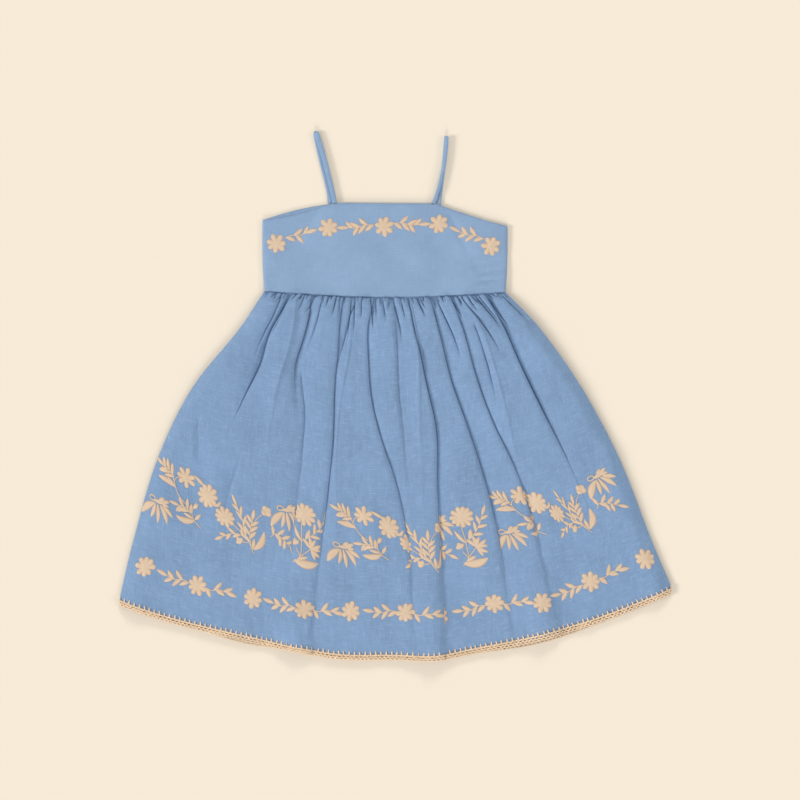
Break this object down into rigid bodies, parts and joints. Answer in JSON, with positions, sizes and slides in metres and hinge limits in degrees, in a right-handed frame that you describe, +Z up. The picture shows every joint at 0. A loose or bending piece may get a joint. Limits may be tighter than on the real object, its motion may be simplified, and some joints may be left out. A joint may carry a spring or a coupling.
{
  "type": "sleeveless sundress laid flat",
  "caption": "Child's sleeveless sundress laid flat: plain bodice on thin straps over a gathered, flared skirt with an edged hem.",
  "frame": {"origin": "on the table under the middle of the laid-out dress", "axes": "+X across the dress towards its right side as seen, +Y from the hem towards the straps, +Z up from the table through the dress's front"},
  "size_m": [0.6835, 0.6503, 0.013],
  "materials": {
    "blue_linen": "matt chambray linen, plain weave with slubs",
    "cream_crochet": "matt crocheted cotton"
  },
  "bodies": {
    "root": {"bodice_front": "blue_linen", "bodice_back": "blue_linen", "strap_left": "blue_linen", "strap_right": "blue_linen", "skirt_front": "blue_linen", "skirt_back": "blue_linen", "hem_trim_front": "cream_crochet", "hem_trim_back": "cream_crochet"}
  },
  "joints": []
}
